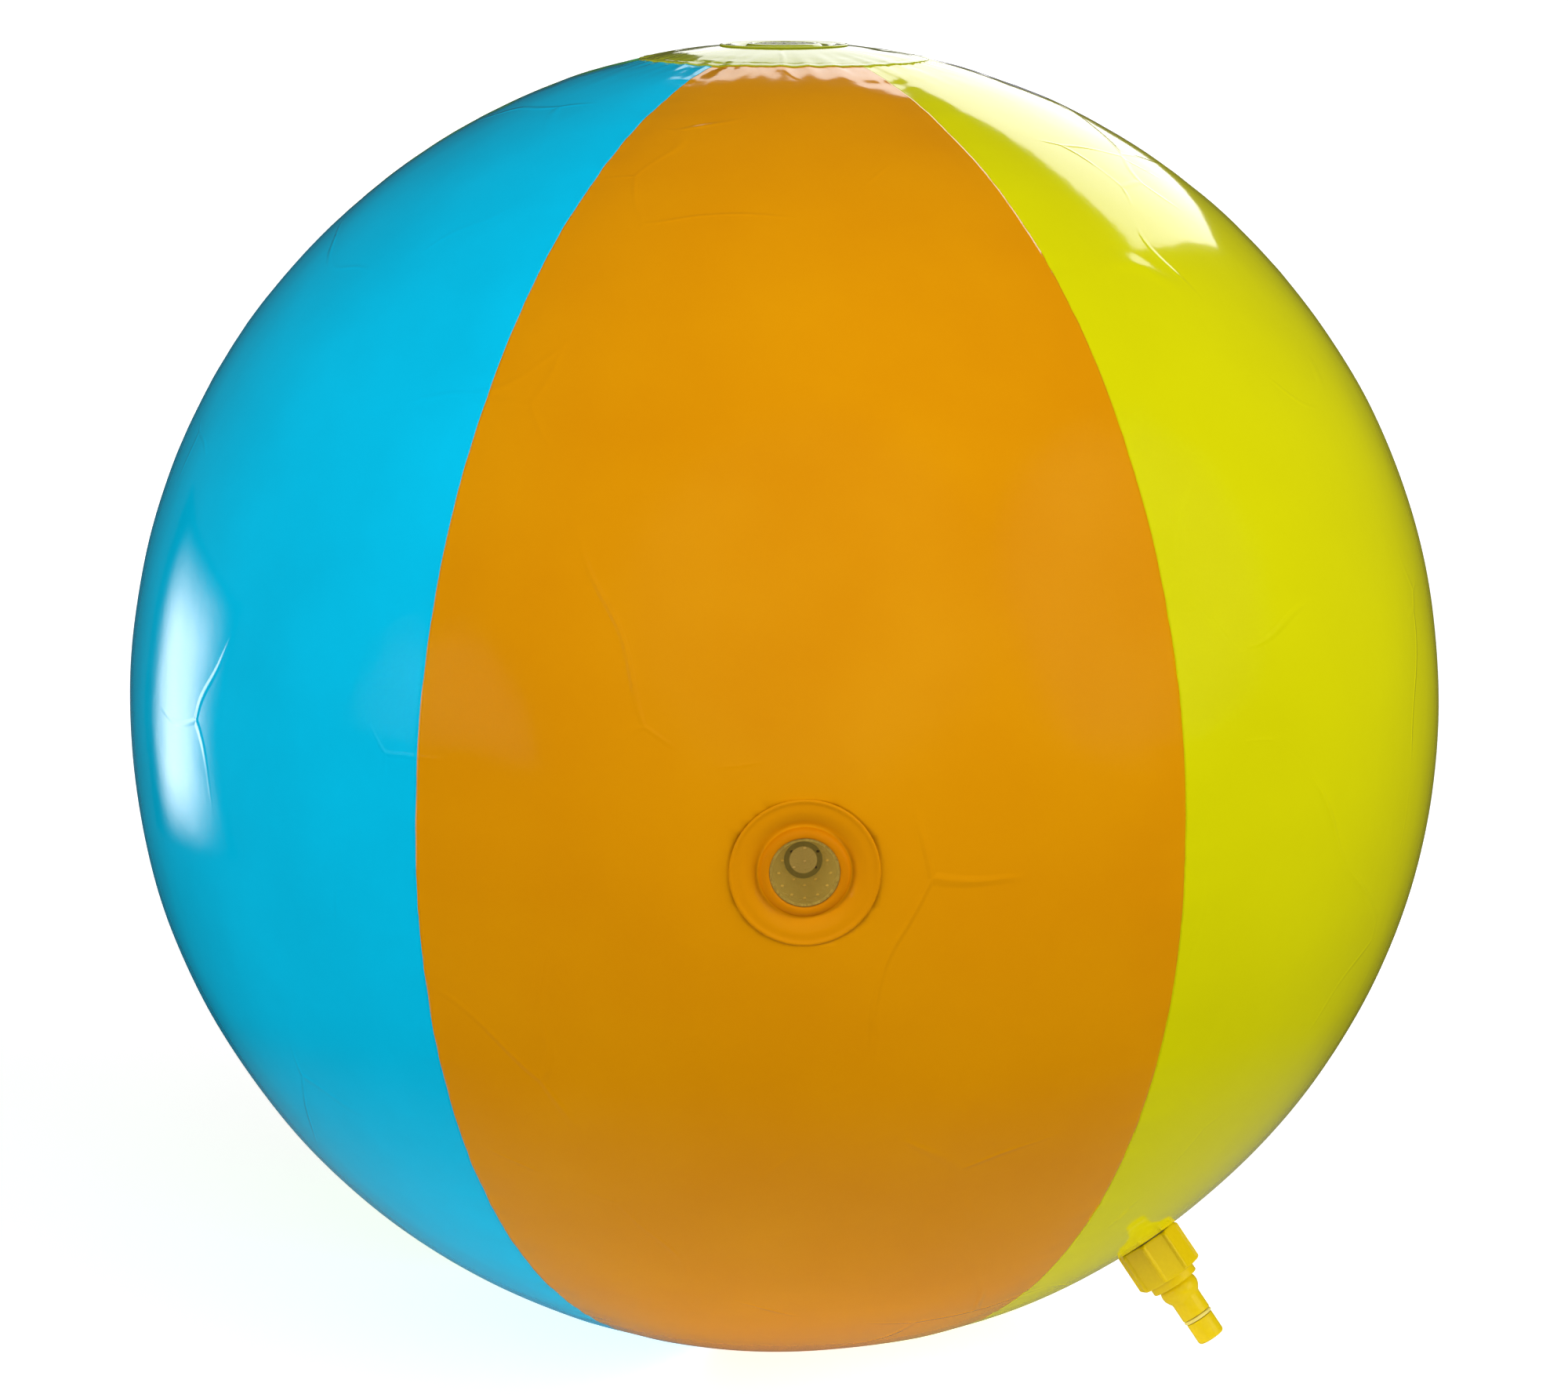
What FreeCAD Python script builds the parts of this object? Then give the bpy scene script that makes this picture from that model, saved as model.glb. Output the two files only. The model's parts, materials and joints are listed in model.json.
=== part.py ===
import FreeCAD, Part

import math
import os

import Sketcher

# Inflatable sprinkler beach ball, in millimetres.
# Six welded gore panels and two polar caps form the skin. Water enters through a threaded inlet low on one
# panel, runs through a tube to a hub at the centre, and from there through four tubes to the spray ports.
# The frame's origin is the centre of the flat patch that the ball rests on. +Z runs up through the poles,
# and the middle of the orange panel faces -Y. Azimuth is counted from -Y towards +X.

os.makedirs("parts", exist_ok=True)
doc = FreeCAD.newDocument("beach_ball")

# ---------------------------------------------------------------- driving dimensions
SIZES = [
    # skin
    ("ball_radius", 350.0),
    ("skin_wall", 0.4),
    ("bond_gap", 0.15),
    ("panel_angle", 60.0),
    ("lap_angle", 0.8),
    ("tip_latitude", 79.0),
    ("cap_latitude", 77.6),
    ("cap_gap", 0.05),
    ("contact_radius", 50.0),
    # spray ports
    ("port_latitude", 1.5),
    ("dish_radius", 33.5),
    ("dish_hole_radius", 28.6),
    ("dish_wall", 0.8),
    ("lip_radius", 20.3),
    ("plate_radius", 15.5),
    ("plate_wall", 1.4),
    ("plate_rise", 0.9),
    ("plate_depth", 0.3),
    ("spray_hole_radius", 0.75),
    ("outer_hole_circle", 11.4),
    ("inner_hole_circle", 5.5),
    ("outer_hole_count", 12),
    ("inner_hole_count", 6),
    ("cup_wall", 1.2),
    ("cup_depth", 21.5),
    # tubes and hub
    ("tube_outer_radius", 8.5),
    ("tube_bore_radius", 6.0),
    ("tube_clearance", 0.2),
    ("spigot_radius", 5.9),
    ("water_bore_radius", 4.0),
    ("hub_radius", 22.0),
    ("hub_reach", 44.0),
    ("tube_start", 26.0),
    # water inlet and hose adaptor
    ("inlet_azimuth", 60.0),
    ("inlet_latitude", -51.0),
    ("inlet_hole_radius", 13.6),
    ("inlet_flange_radius", 30.0),
    ("inlet_thread_top", 14.0),
    ("thread_pitch", 2.209),
    ("thread_turns", 4.0),
    ("thread_core_radius", 12.2),
    ("thread_crest_radius", 13.1),
    ("thread_clearance", 0.3),
    ("washer_wall", 2.4),
    ("washer_gap", 0.15),
    ("nut_bottom", 0.4),
    ("nut_top", 23.5),
    ("nut_sides", 8),
    ("nut_flats", 33.6),
    ("nut_turn", 27.5),
    ("nut_rib_radius", 1.3),
    ("nipple_root_radius", 8.2),
    ("nipple_radius", 7.65),
    ("nipple_tip", 62.5),
    ("seal_section_radius", 1.0),
    ("seal_height", 49.0),
    # air valve
    ("valve_azimuth", 180.0),
    ("valve_latitude", 0.0),
    ("valve_hole_radius", 8.6),
    ("valve_flange_radius", 20.0),
    ("valve_stem_radius", 6.2),
    ("valve_bore_radius", 4.0),
    ("valve_stem_length", 18.0),
    ("valve_gap", 0.3),
    ("plug_wall", 1.4),
    ("plug_nose_length", 5.0),
    ("flap_wall", 0.8),
]

sheet = doc.addObject("Spreadsheet::Sheet", "sizes")
for row, (alias, number) in enumerate(SIZES, start=1):
    sheet.set(f"A{row}", alias)
    sheet.set(f"B{row}", str(number))
    sheet.setAlias(f"B{row}", alias)
doc.recompute()


def value(formula):
    """The number that a formula in the sheet's aliases stands for."""
    if isinstance(formula, (int, float)):
        return float(formula)
    result = sheet.evalExpression(formula)
    return float(getattr(result, "Value", result))


def cell(alias):
    return float(sheet.get(alias))


def bind(thing, **formulas):
    """Set each property from a formula in the sheet's aliases."""
    for name, formula in formulas.items():
        if isinstance(formula, (int, float)):
            setattr(thing, name, formula)
        else:
            thing.setExpression(name, formula)


# Formulas that several sub-parts share.
CENTRE_HEIGHT = "sqrt((sizes.ball_radius + sizes.cap_gap + sizes.skin_wall)^2 - sizes.contact_radius^2)"
INNER_RADIUS = "sizes.ball_radius - sizes.skin_wall"
CENTRE = FreeCAD.Vector(0, 0, value(CENTRE_HEIGHT))


def outward(azimuth, latitude):
    """The unit vector from the ball's centre at an azimuth from -Y and a latitude."""
    level = math.cos(math.radians(latitude))
    side = math.radians(azimuth)
    return FreeCAD.Vector(math.sin(side) * level, -math.cos(side) * level, math.sin(math.radians(latitude)))


def surface_pose(azimuth, latitude, reach=None):
    """A placement on the skin with local +Z outward and local +X pointing down, away from the top pole."""
    normal = outward(azimuth, latitude)
    east = FreeCAD.Vector(math.cos(math.radians(azimuth)), math.sin(math.radians(azimuth)), 0)
    down = east.cross(normal)
    turn = FreeCAD.Rotation(down, normal.cross(down), normal, "ZXY")
    reach = cell("ball_radius") if reach is None else reach
    return FreeCAD.Placement(CENTRE + normal * reach, turn)


# ---------------------------------------------------------------- builders
def origin_plane(body, role):
    return next(part for part in body.Origin.OriginFeatures if part.Role == role)


def new_sketch(body, name, plane):
    sketch = body.newObject("Sketcher::SketchObject", name)
    sketch.AttachmentSupport = [(origin_plane(body, plane), "")]
    sketch.MapMode = "FlatFace"
    return sketch


def pin_point(sketch, line, across, along):
    """Fix a line's first point at a distance across and along from the sketch's origin."""
    for kind, formula in (("DistanceX", across), ("DistanceY", along)):
        index = sketch.addConstraint(Sketcher.Constraint(kind, -1, 1, line, 1, value(formula)))
        if isinstance(formula, str):
            sketch.setExpression(f"Constraints[{index}]", formula)


def outline(sketch, corners):
    """Draw a closed outline of straight lines through corners given as formulas."""
    points = [FreeCAD.Vector(value(across), value(along), 0) for across, along in corners]
    count = len(points)
    for index in range(count):
        sketch.addGeometry(Part.LineSegment(points[index], points[(index + 1) % count]), False)
    for index in range(count):
        sketch.addConstraint(Sketcher.Constraint("Coincident", index, 2, (index + 1) % count, 1))
    for index, (across, along) in enumerate(corners):
        pin_point(sketch, index, across, along)


def lathe(label, corners):
    """A body turned about local Z from an outline of (radius, height) corners."""
    body = doc.addObject("PartDesign::Body", label)
    sketch = new_sketch(body, label + "_profile", "XZ_Plane")
    outline(sketch, corners)
    turned = body.newObject("PartDesign::Revolution", label + "_turned")
    turned.Profile = sketch
    turned.ReferenceAxis = (sketch, ["V_Axis"])
    turned.Angle = 360.0
    return body


def ring_of_holes(body, name, circle, hole, count):
    """Cut a ring of round holes along Z right through a body."""
    sketch = new_sketch(body, name + "_sketch", "XY_Plane")
    sketch.addGeometry(Part.Circle(FreeCAD.Vector(value(circle), 0, 0), FreeCAD.Vector(0, 0, 1), value(hole)))
    sketch.addConstraint(Sketcher.Constraint("PointOnObject", 0, 3, -1))
    across = sketch.addConstraint(Sketcher.Constraint("DistanceX", -1, 1, 0, 3, value(circle)))
    sketch.setExpression(f"Constraints[{across}]", circle)
    size = sketch.addConstraint(Sketcher.Constraint("Radius", 0, value(hole)))
    sketch.setExpression(f"Constraints[{size}]", hole)
    pocket = body.newObject("PartDesign::Pocket", name + "_pocket")
    pocket.Profile = sketch
    pocket.Type = "ThroughAll"
    pocket.Midplane = True
    doc.recompute()
    pattern = body.newObject("PartDesign::PolarPattern", name + "_pattern")
    pattern.Originals = [pocket]
    pattern.Axis = (sketch, ["N_Axis"])
    pattern.Angle = 360.0
    bind(pattern, Occurrences=count)
    body.Tip = pattern


def sphere(name, radius, low=-90.0, high=90.0, start=0.0, sweep=360.0):
    """A ball segment round the ball's centre, from a start azimuth counted from +X."""
    ball = doc.addObject("Part::Sphere", name)
    bind(ball, Radius=radius, Angle1=low, Angle2=high, Angle3=sweep)
    ball.Placement = FreeCAD.Placement(CENTRE, FreeCAD.Rotation(FreeCAD.Vector(0, 0, 1), start))
    ball.setExpression("Placement.Base.z", CENTRE_HEIGHT)
    return ball


def cylinder(name, radius, height, place):
    rod = doc.addObject("Part::Cylinder", name)
    bind(rod, Radius=radius, Height=height)
    rod.Placement = place
    return rod


def cut(label, base, tool):
    result = doc.addObject("Part::Cut", label)
    result.Base = base
    result.Tool = tool
    return result


def fuse(label, pieces):
    result = doc.addObject("Part::MultiFuse", label)
    result.Shapes = pieces
    result.Refine = False
    return result


def shell(name, outer, inner, low, high, start, sweep):
    """Part of a hollow ball: the segment of the outer ball that lies outside the inner one."""
    return cut(name, sphere(name + "_outer", outer, low, high, start, sweep), sphere(name + "_inner", inner))


def skin_drop(radius):
    """How far the skin has curved away at a radius from a point on it."""
    return f"({radius})^2 / (2 * sizes.ball_radius)"


# ---------------------------------------------------------------- skin
# Panels in order of azimuth, each with the hole that is cut through it.
PANELS = ["panel_orange", "panel_yellow", "panel_white", "panel_red", "panel_green", "panel_blue"]
PANEL_STEP = cell("panel_angle")
PORT_AZIMUTHS = {"front": 0.0, "right": 2 * PANEL_STEP, "left": 4 * PANEL_STEP}
HOLES = {
    "panel_orange": ("dish_hole_radius", PORT_AZIMUTHS["front"], cell("port_latitude")),
    "panel_yellow": ("inlet_hole_radius", cell("inlet_azimuth"), cell("inlet_latitude")),
    "panel_white": ("dish_hole_radius", PORT_AZIMUTHS["right"], cell("port_latitude")),
    "panel_red": ("valve_hole_radius", cell("valve_azimuth"), cell("valve_latitude")),
    "panel_green": ("dish_hole_radius", PORT_AZIMUTHS["left"], cell("port_latitude")),
}


def hole_tool(name, alias, azimuth, latitude):
    """A rod that passes through the skin only, square to it."""
    depth = 20.0
    place = surface_pose(azimuth, latitude, cell("ball_radius") - depth)
    return cylinder(name, f"sizes.{alias}", 2 * depth, place)


def gore_panel(label, azimuth):
    """One gore: a strip of the ball from cap to cap, with a thin tongue that laps under the next gore."""
    edge = azimuth - 90.0 + PANEL_STEP / 2
    low, high = "-sizes.tip_latitude", "sizes.tip_latitude"
    gore = shell(label + "_face", "sizes.ball_radius", INNER_RADIUS, low, high, edge - PANEL_STEP,
                 "sizes.panel_angle")
    lap = cell("lap_angle")
    tongue_top = f"{INNER_RADIUS} - sizes.bond_gap"
    tongue_bottom = f"{INNER_RADIUS} - sizes.bond_gap - sizes.skin_wall"
    tongue = shell(label + "_tongue", tongue_top, tongue_bottom, low, high, edge - lap, "2 * sizes.lap_angle")
    web = shell(label + "_web", "sizes.ball_radius - sizes.skin_wall / 2", tongue_bottom, low, high, edge - lap,
                "sizes.lap_angle / 2")
    panel = fuse(label + "_uncut", [gore, tongue, web])
    if label not in HOLES:
        panel.Label = label
        return panel
    return cut(label, panel, hole_tool(label + "_hole", *HOLES[label]))


def top_cap():
    cap = shell("cap_top_shell", "sizes.ball_radius + sizes.cap_gap + sizes.skin_wall",
                "sizes.ball_radius + sizes.cap_gap", "sizes.cap_latitude", 90.0, 0.0, 360.0)
    return cut("cap_top", cap, hole_tool("cap_top_hole", "dish_hole_radius", 0.0, 90.0))


def bottom_cap():
    """The lower cap, pressed flat where it carries the ball's weight."""
    outside = sphere("cap_bottom_outer", "sizes.ball_radius + sizes.cap_gap + sizes.skin_wall", -90.0,
                     "-sizes.cap_latitude")
    inside = sphere("cap_bottom_inner", "sizes.ball_radius + sizes.cap_gap")
    above = doc.addObject("Part::Box", "cap_bottom_above")
    bind(above, Length="2 * sizes.ball_radius", Width="2 * sizes.ball_radius", Height="2 * sizes.ball_radius")
    above.Placement.Base = FreeCAD.Vector(-cell("ball_radius"), -cell("ball_radius"), 0)
    above_wall = doc.addObject("Part::Box", "cap_bottom_above_wall")
    bind(above_wall, Length="2 * sizes.ball_radius", Width="2 * sizes.ball_radius",
         Height="2 * sizes.ball_radius")
    above_wall.Placement.Base = FreeCAD.Vector(-cell("ball_radius"), -cell("ball_radius"), 0)
    above_wall.setExpression("Placement.Base.z", "sizes.skin_wall")
    solid = doc.addObject("Part::Common", "cap_bottom_solid")
    solid.Base = outside
    solid.Tool = above
    hollow = doc.addObject("Part::Common", "cap_bottom_hollow")
    hollow.Base = inside
    hollow.Tool = above_wall
    return cut("cap_bottom", solid, hollow)


# ---------------------------------------------------------------- spray ports
def port_dish(label):
    """A moulded dish, welded on to the skin, that dips to a raised lip round the spray plate."""
    wall = "sizes.dish_wall"
    rim_under = f"sizes.cap_gap + sizes.skin_wall - {skin_drop('sizes.dish_radius')}"
    lap_radius = "sizes.dish_hole_radius + 0.6"
    lap_under = f"sizes.cap_gap + sizes.skin_wall - {skin_drop(lap_radius)}"
    collar = "sizes.plate_radius + 0.1"
    return lathe(label, [
        ("sizes.dish_radius", rim_under),
        ("sizes.dish_radius", f"{rim_under} + {wall}"),
        ("sizes.dish_hole_radius - 0.4", f"{lap_under} + {wall}"),
        ("sizes.lip_radius + 1.2", -1.9),
        ("sizes.lip_radius", -1.9),
        ("sizes.lip_radius - 0.8", -0.5),
        ("sizes.lip_radius - 2.2", 0.0),
        ("sizes.plate_radius + 1.1", -0.2),
        (collar, -0.9),
        (collar, "-sizes.cup_depth / 2"),
        (f"{collar} + 1.4", "-sizes.cup_depth / 2"),
        (f"{collar} + 1.4", f"-1.9 - {wall}"),
        ("sizes.lip_radius + 1.2", f"-1.9 - {wall}"),
        ("sizes.dish_hole_radius - 0.4", lap_under),
    ])


def spray_plate(label):
    """The clear plate with two rings of spray holes."""
    top = "-sizes.plate_depth"
    bottom = "-sizes.plate_depth - sizes.plate_wall"
    plate = lathe(label, [
        (0, bottom),
        ("sizes.plate_radius", bottom),
        ("sizes.plate_radius", top),
        ("sizes.plate_radius - 5", f"{top} + 0.6 * sizes.plate_rise"),
        ("sizes.plate_radius / 3", f"{top} + 0.95 * sizes.plate_rise"),
        (0, f"{top} + sizes.plate_rise"),
    ])
    ring_of_holes(plate, label + "_outer_holes", "sizes.outer_hole_circle", "sizes.spray_hole_radius",
                  "sizes.outer_hole_count")
    ring_of_holes(plate, label + "_inner_holes", "sizes.inner_hole_circle", "sizes.spray_hole_radius",
                  "sizes.inner_hole_count")
    return plate


def spray_cup(label):
    """The clear chamber behind the plate, which narrows to a sleeve round the feed tube."""
    rim = "-sizes.plate_depth - sizes.plate_wall"
    sleeve = "sizes.tube_outer_radius + sizes.tube_clearance"
    wall = "sizes.cup_wall"
    return lathe(label, [
        ("sizes.plate_radius", rim),
        ("sizes.plate_radius", "-sizes.cup_depth / 2"),
        (f"{sleeve} + {wall}", "-sizes.cup_depth"),
        (f"{sleeve} + {wall}", "-sizes.cup_depth - 8"),
        (sleeve, "-sizes.cup_depth - 8"),
        (sleeve, "-sizes.cup_depth"),
        (f"sizes.plate_radius - {wall}", "-sizes.cup_depth / 2"),
        (f"sizes.plate_radius - {wall}", rim),
    ])


def feed_tube(label, start):
    """A straight soft tube from a start below the skin to just outside the hub."""
    end = "sizes.tube_start - sizes.ball_radius"
    return lathe(label, [
        ("sizes.tube_bore_radius", end),
        ("sizes.tube_outer_radius", end),
        ("sizes.tube_outer_radius", start),
        ("sizes.tube_bore_radius", start),
    ])


def spray_port(side, place):
    """The four pieces of one port, all on the port's axis."""
    pieces = [
        port_dish(f"port_dish_{side}"),
        spray_plate(f"spray_plate_{side}"),
        spray_cup(f"spray_cup_{side}"),
        feed_tube(f"feed_tube_{side}", "-sizes.cup_depth - 0.5"),
    ]
    for piece in pieces:
        piece.Placement = place
    return pieces


def hub(directions):
    """The manifold at the ball's centre: a ball with a hollow spigot along each direction."""
    solids = [sphere("hub_ball", "sizes.hub_radius")]
    bores = []
    for index, (azimuth, latitude) in enumerate(directions):
        place = surface_pose(azimuth, latitude, 0.0)
        solids.append(cylinder(f"hub_spigot_{index}", "sizes.spigot_radius", "sizes.hub_reach", place))
        bores.append(cylinder(f"hub_bore_{index}", "sizes.water_bore_radius", "sizes.hub_reach + 1", place))
    return cut("hub_manifold", fuse("hub_solids", solids), fuse("hub_bores", bores))


# ---------------------------------------------------------------- water inlet and hose adaptor
def inlet_flange():
    """A soft disc welded inside the skin, with a boss that stands in the skin's hole."""
    top = f"-sizes.skin_wall - sizes.bond_gap - {skin_drop('sizes.inlet_flange_radius')}"
    inner_top = f"-sizes.skin_wall - sizes.bond_gap - {skin_drop('sizes.inlet_hole_radius')}"
    boss = "sizes.inlet_hole_radius - 0.3"
    bore = "sizes.thread_core_radius - 3.2"
    return lathe("inlet_flange", [
        (bore, -6.0),
        (boss, -6.0),
        (boss, f"{inner_top} - 1.2"),
        ("sizes.inlet_flange_radius", f"{top} - 1.2"),
        ("sizes.inlet_flange_radius", top),
        (boss, inner_top),
        (boss, 0.8),
        (bore, 0.8),
    ])


# The nut's groove is a whole number of turns longer at the bottom, so that it is in step with the ridge,
# and half a turn longer at the top.
RIDGE_TURNS = 3.5
GROOVE_EXTRA_TURNS = 2


def thread_start(turns):
    """The height at which a helix of so many turns starts, to end just under the spigot's top."""
    return cell("inlet_thread_top") - 0.8 - cell("thread_pitch") * turns


def helical_ridge(name, radius_in, radius_out, base_width, crest_width, bottom, turns):
    """A trapezoid swept along a helix about local Z."""
    pitch = cell("thread_pitch")
    helix = Part.makeHelix(pitch, pitch * turns, radius_in)
    section = Part.makePolygon([
        FreeCAD.Vector(radius_in, 0, -base_width / 2),
        FreeCAD.Vector(radius_out, 0, -crest_width / 2),
        FreeCAD.Vector(radius_out, 0, crest_width / 2),
        FreeCAD.Vector(radius_in, 0, base_width / 2),
        FreeCAD.Vector(radius_in, 0, -base_width / 2),
    ])
    ridge = Part.Wire(helix).makePipeShell([section], True, True)
    solid = doc.addObject("Part::Feature", name)
    solid.Shape = ridge
    solid.Placement = FreeCAD.Placement(FreeCAD.Vector(0, 0, bottom), FreeCAD.Rotation())
    return solid


def inlet_spigot():
    """The rigid threaded insert: hose thread outside the skin, tube spigot inside it."""
    neck = "sizes.thread_core_radius - 3.4"
    core = lathe("inlet_spigot_core", [
        ("sizes.water_bore_radius", -30.0),
        ("sizes.spigot_radius", -30.0),
        ("sizes.spigot_radius", -8.0),
        (f"{neck} + 2.4", -8.0),
        (f"{neck} + 2.4", -6.2),
        (neck, -6.2),
        (neck, 1.0),
        ("sizes.thread_core_radius", 1.0),
        ("sizes.thread_core_radius", "sizes.inlet_thread_top"),
        ("sizes.water_bore_radius + 3", "sizes.inlet_thread_top"),
        ("sizes.water_bore_radius + 3", 2.0),
        ("sizes.water_bore_radius", 0.0),
    ])
    ridge = helical_ridge("inlet_spigot_ridge", cell("thread_core_radius") - 0.2, cell("thread_crest_radius"), 1.2,
                          0.4, thread_start(RIDGE_TURNS), RIDGE_TURNS)
    return fuse("inlet_spigot", [core, ridge])


def hose_washer():
    bottom = "sizes.inlet_thread_top + sizes.washer_gap"
    return lathe("hose_washer", [
        (6.5, bottom),
        ("sizes.thread_core_radius", bottom),
        ("sizes.thread_core_radius", f"{bottom} + sizes.washer_wall"),
        (6.5, f"{bottom} + sizes.washer_wall"),
    ])


def hose_adaptor():
    """One moulding: a ribbed nut with the female hose thread, and the stepped nipple for a hose connector."""
    corner = value("sizes.nut_flats / 2 / cos(180 deg / sizes.nut_sides)")
    prism = doc.addObject("Part::Prism", "adaptor_prism")
    prism.Polygon = int(cell("nut_sides"))
    bind(prism, Circumradius=corner, Height="sizes.nut_top - sizes.nut_bottom")
    prism.Placement = FreeCAD.Placement(FreeCAD.Vector(0, 0, cell("nut_bottom")),
                                        FreeCAD.Rotation(FreeCAD.Vector(0, 0, 1), cell("nut_turn")))
    blanks = [prism]
    for index in range(prism.Polygon):
        angle = math.radians(cell("nut_turn") + index * 360.0 / prism.Polygon)
        middle = FreeCAD.Vector(math.cos(angle), math.sin(angle), 0) * (corner - 0.6 * cell("nut_rib_radius"))
        middle.z = cell("nut_bottom")
        blanks.append(cylinder(f"adaptor_rib_{index}", "sizes.nut_rib_radius", "sizes.nut_top - sizes.nut_bottom",
                               FreeCAD.Placement(middle, FreeCAD.Rotation())))
    nut = fuse("adaptor_nut", blanks)
    round_blank = lathe("adaptor_nut_chamfer", [
        (0, "sizes.nut_bottom"),
        ("sizes.nut_flats / 2 + 0.6", "sizes.nut_bottom"),
        ("sizes.nut_flats / 2 + 2.2", "sizes.nut_bottom + 1.4"),
        ("sizes.nut_flats / 2 + 2.2", "sizes.nut_top - 1.3"),
        ("sizes.nut_flats / 2 + 0.7", "sizes.nut_top"),
        (0, "sizes.nut_top"),
    ])
    rounded_nut = doc.addObject("Part::Common", "adaptor_nut_rounded")
    rounded_nut.Base = nut
    rounded_nut.Tool = round_blank
    steps = lathe("adaptor_steps", [
        (0, "sizes.nut_top - 1"),
        (13.2, "sizes.nut_top - 1"),
        (13.2, "sizes.nut_top + 4.2"),
        (12.7, "sizes.nut_top + 4.6"),
        (9.8, "sizes.nut_top + 4.6"),
        (9.8, "sizes.nut_top + 5.1"),
        (10.4, "sizes.nut_top + 6.2"),
        (10.6, "sizes.nut_top + 8.0"),
        (10.3, "sizes.nut_top + 10.2"),
        (9.5, "sizes.nut_top + 12.2"),
        ("sizes.nipple_root_radius", "sizes.nut_top + 13.4"),
        ("sizes.nipple_root_radius", "sizes.seal_height - 1.3"),
        ("sizes.nipple_radius - 1.5", "sizes.seal_height - 1.3"),
        ("sizes.nipple_radius - 1.5", "sizes.seal_height + 1.3"),
        ("sizes.nipple_radius", "sizes.seal_height + 1.3"),
        ("sizes.nipple_radius", "sizes.nipple_tip - 1.5"),
        ("sizes.nipple_radius - 1.5", "sizes.nipple_tip"),
        (0, "sizes.nipple_tip"),
    ])
    seat = "sizes.inlet_thread_top + sizes.washer_wall + 2 * sizes.washer_gap"
    relief = "sizes.thread_crest_radius + 2 * sizes.thread_clearance"
    crest = "sizes.thread_core_radius + sizes.thread_clearance"
    cavity = lathe("adaptor_cavity", [
        (0, "sizes.nut_bottom - 1"),
        (relief, "sizes.nut_bottom - 1"),
        (relief, "sizes.nut_bottom + 2"),
        (crest, "sizes.nut_bottom + 3.1"),
        (crest, seat),
        ("sizes.water_bore_radius - 0.4", seat),
        ("sizes.water_bore_radius - 0.4", "sizes.nipple_tip + 1"),
        (0, "sizes.nipple_tip + 1"),
    ])
    groove = helical_ridge("adaptor_groove", cell("thread_core_radius") - 0.2,
                           cell("thread_crest_radius") + cell("thread_clearance"), 1.9, 1.0,
                           thread_start(RIDGE_TURNS + GROOVE_EXTRA_TURNS), RIDGE_TURNS + GROOVE_EXTRA_TURNS + 0.5)
    blank = fuse("adaptor_blank", [rounded_nut, steps])
    return cut("hose_adaptor", cut("adaptor_bored", blank, cavity), groove)


def stem_seal():
    seal = doc.addObject("Part::Torus", "stem_seal")
    bind(seal, Radius1="sizes.nipple_radius - 0.45", Radius2="sizes.seal_section_radius")
    return seal


# ---------------------------------------------------------------- air valve
def valve_flange():
    """A soft disc welded inside the skin, with the collar that the stem slides in."""
    collar = "sizes.valve_stem_radius + sizes.valve_gap"
    boss = "sizes.valve_hole_radius - sizes.valve_gap"
    top = f"-sizes.skin_wall - sizes.bond_gap - {skin_drop('sizes.valve_flange_radius')}"
    inner_top = f"-sizes.skin_wall - sizes.bond_gap - {skin_drop('sizes.valve_hole_radius')}"
    return lathe("valve_flange", [
        (collar, -14.0),
        (boss, -14.0),
        (boss, f"{inner_top} - 1.0"),
        ("sizes.valve_flange_radius", f"{top} - 1.0"),
        ("sizes.valve_flange_radius", top),
        (boss, inner_top),
        (boss, -0.2),
        (collar, -0.2),
    ])


def valve_stem():
    """The tube that is blown into, with the lip and tab that carry the plug's strap."""
    tube = lathe("valve_stem_tube", [
        ("sizes.valve_bore_radius", "-sizes.valve_stem_length"),
        ("sizes.valve_stem_radius", "-sizes.valve_stem_length"),
        ("sizes.valve_stem_radius", 0.1),
        ("sizes.valve_stem_radius + 1.6", 0.1),
        ("sizes.valve_stem_radius + 1.6", 1.1),
        ("sizes.valve_bore_radius", 1.1),
    ])
    tab = doc.addObject("Part::Box", "valve_stem_tab")
    bind(tab, Length=3.0, Width=4.0, Height=1.0)
    tab.Placement.Base = FreeCAD.Vector(6.2, -2.0, 0.1)
    return fuse("valve_stem", [tube, tab])


def valve_plug():
    """The push-in plug and its strap. The nose tapers so that it swings clear of the bore."""
    top = "1.1 + sizes.valve_gap + sizes.plug_wall"
    under = "1.1 + sizes.valve_gap"
    body = lathe("valve_plug_body", [
        (0, f"{under} - sizes.plug_nose_length"),
        (2.3, f"{under} - sizes.plug_nose_length"),
        ("sizes.valve_bore_radius - 0.4", f"{under} - 0.3"),
        ("sizes.valve_bore_radius - 0.4", under),
        (6.8, under),
        (6.8, top),
        (0, top),
    ])
    strap = doc.addObject("Part::Box", "valve_plug_strap")
    bind(strap, Length=4.2, Width=4.0, Height=0.8)
    strap.Placement.Base = FreeCAD.Vector(6.0, -2.0, value(under) + 0.3)
    return fuse("valve_plug", [body, strap])


def valve_flap():
    """The check flap that closes the stem's inner end."""
    top = "-sizes.valve_stem_length - sizes.valve_gap"
    return lathe("valve_flap", [
        (0, f"{top} - sizes.flap_wall"),
        (5.6, f"{top} - sizes.flap_wall"),
        (5.6, top),
        (0, top),
    ])


# ---------------------------------------------------------------- assembly
INLET_POSE = surface_pose(cell("inlet_azimuth"), cell("inlet_latitude"))
VALVE_POSE = surface_pose(cell("valve_azimuth"), cell("valve_latitude"))

nodes = [gore_panel(label, index * PANEL_STEP) for index, label in enumerate(PANELS)]
nodes += [top_cap(), bottom_cap()]

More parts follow.
